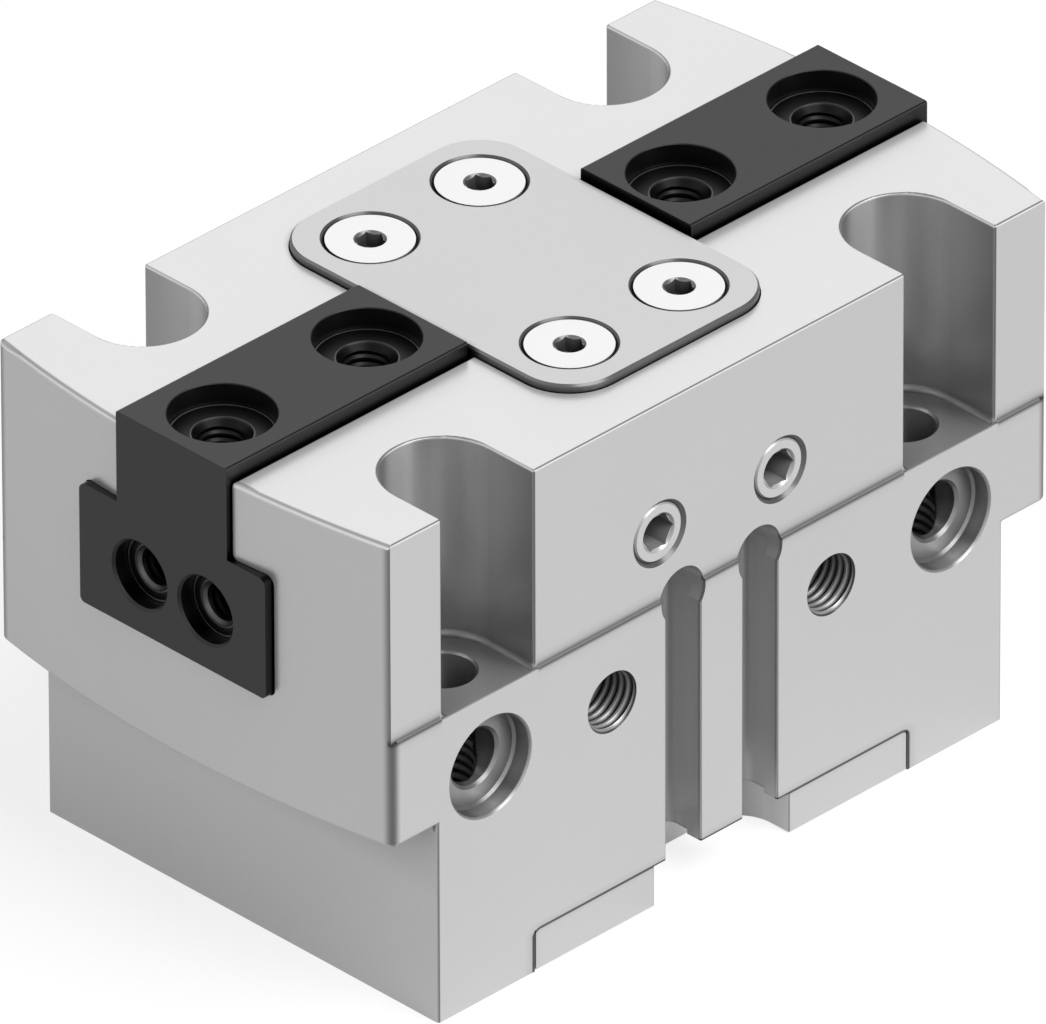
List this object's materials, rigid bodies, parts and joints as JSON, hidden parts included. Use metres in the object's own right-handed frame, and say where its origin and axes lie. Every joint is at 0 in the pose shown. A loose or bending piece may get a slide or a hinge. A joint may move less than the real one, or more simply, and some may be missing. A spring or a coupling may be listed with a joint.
{
  "type": "parallel gripper",
  "caption": "Pneumatic parallel gripper: block housing with an oval piston whose wedge spreads two T-guided jaws; cover plate, corner pockets, air ports and sensor slots.",
  "frame": {"origin": "middle of the mounting face under the foot, on the plane that the gripper is bolted to", "axes": "+Z from the mounting face to the jaws' finger face, X along the jaws' travel, -Y the side with the air ports and the sensor slots"},
  "size_m": [0.1066, 0.0602, 0.0653],
  "materials": {
    "anodised_body": "satin hard anodised",
    "anodised_cover": "satin hard anodised",
    "anodised_cap": "satin anodised",
    "plated_screws": "bright zinc plated",
    "plated_plugs": "zinc plated",
    "spring_steel": "phosphated",
    "rubber": "matt black",
    "pads": "matt",
    "bush": "bronze",
    "guide_plastic": "filled PTFE",
    "piston_metal": "hard anodised",
    "magnet": "nickel plated",
    "hardened_steel": "ground and nitrided",
    "blackened_steel": "black nitrided"
  },
  "bodies": {
    "housing": {"housing": "anodised_body", "cover_plate": "anodised_cover", "cover_screws": "plated_screws", "bottom_cap": "anodised_cap", "cap_screws": "plated_screws", "cap_seal": "rubber", "lower_stop_pad": "pads", "upper_stop_pad": "pads", "rod_seal": "rubber", "rod_bush": "bush", "rod_retaining_ring": "spring_steel", "side_plugs": "plated_plugs"},
    "piston": {"piston": "piston_metal", "piston_seal": "rubber", "piston_guide_band": "guide_plastic", "magnets": "magnet", "wedge_head": "hardened_steel", "wedge_screw": "plated_screws", "wedge_dowel": "spring_steel"},
    "jaw_left": {"jaw_left": "blackened_steel"},
    "jaw_right": {"jaw_right": "blackened_steel"}
  },
  "joints": [
    {"name": "jaw_left_slide", "type": "slide", "parent": "housing", "child": "jaw_left", "axis": [-1, 0, 0], "range_m": [0, 0.008]},
    {"name": "jaw_right_slide", "type": "slide", "parent": "housing", "child": "jaw_right", "axis": [1, 0, 0], "range_m": [0, 0.008]},
    {"name": "piston_slide", "type": "slide", "parent": "housing", "child": "piston", "axis": [0, 0, 1], "range_m": [0, 0.012]}
  ],
  "couplings": [
    {"joint": "jaw_right_slide", "follows": "jaw_left_slide", "ratio": 1},
    {"joint": "piston_slide", "follows": "jaw_left_slide", "ratio": 1.5}
  ]
}
